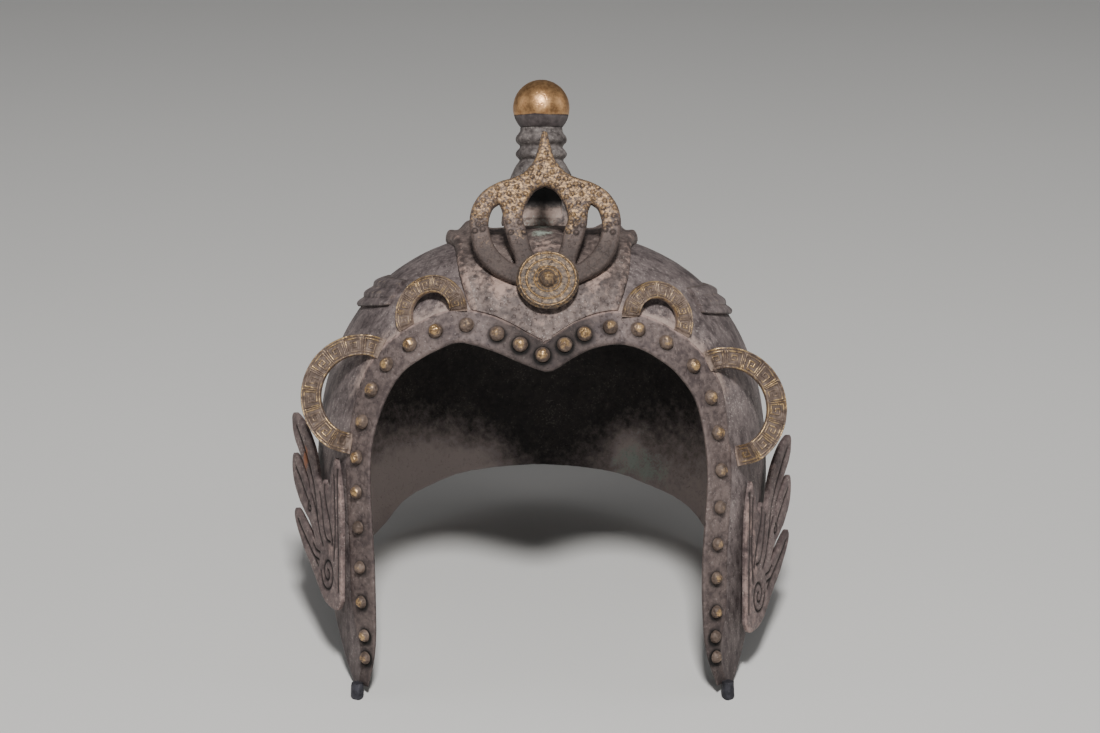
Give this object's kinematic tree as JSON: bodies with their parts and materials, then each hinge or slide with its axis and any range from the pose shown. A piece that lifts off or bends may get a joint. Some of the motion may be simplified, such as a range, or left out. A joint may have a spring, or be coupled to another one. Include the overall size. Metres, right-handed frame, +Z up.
{
  "type": "gilt bronze helmet",
  "caption": "Open-faced bronze helmet with hanging cheek plates, studded border, rolled crown strap, pierced palmette crest with boss, ball finial, fret bands and feathered wings.",
  "frame": {"origin": "middle of the bounding box's foot, on the surface that the helmet rests on", "axes": "+Z up, -Y out of the open face, +X to the right as seen from the front; the helmet leans back 21 degrees about X as it rests on its two foot stubs and its rear rim"},
  "size_m": [0.2636, 0.245, 0.2674],
  "materials": {
    "dark_bronze": "dark brown-grey patina with pinkish dust",
    "dusty_bronze": "brown patina, pinkish tan dust in the hollows",
    "worn_gilt": "worn gilding over brown bronze",
    "bright_gilt": "polished copper-gold",
    "dark_iron": "dark, dull"
  },
  "bodies": {
    "root": {"skull": "dark_bronze", "face_border": "dusty_bronze", "crown_strap": "dusty_bronze", "shoulder_rib_left": "dusty_bronze", "shoulder_rib_right": "dusty_bronze", "crest": "worn_gilt", "roundel": "worn_gilt", "finial_stem": "dark_bronze", "finial_ball": "bright_gilt", "brow_band_left": "worn_gilt", "brow_band_right": "worn_gilt", "temple_band_left": "worn_gilt", "temple_band_right": "worn_gilt", "wing_left": "dusty_bronze", "wing_right": "dusty_bronze", "foot_stub_left": "dark_iron", "foot_stub_right": "dark_iron", "stud_centre": "worn_gilt", "stud_left_01": "worn_gilt", "stud_left_02": "worn_gilt", "stud_left_03": "worn_gilt", "stud_left_04": "worn_gilt", "stud_left_05": "worn_gilt", "stud_left_06": "worn_gilt", "stud_left_07": "worn_gilt", "stud_left_08": "worn_gilt", "stud_left_09": "worn_gilt", "stud_left_10": "worn_gilt", "stud_left_11": "worn_gilt", "stud_left_12": "worn_gilt", "stud_left_13": "worn_gilt", "stud_left_14": "worn_gilt", "stud_left_15": "worn_gilt", "stud_right_01": "worn_gilt", "stud_right_02": "worn_gilt", "stud_right_03": "worn_gilt", "stud_right_04": "worn_gilt", "stud_right_05": "worn_gilt", "stud_right_06": "worn_gilt", "stud_right_07": "worn_gilt", "stud_right_08": "worn_gilt", "stud_right_09": "worn_gilt", "stud_right_10": "worn_gilt", "stud_right_11": "worn_gilt", "stud_right_12": "worn_gilt", "stud_right_13": "worn_gilt", "stud_right_14": "worn_gilt", "stud_right_15": "worn_gilt"}
  },
  "joints": []
}
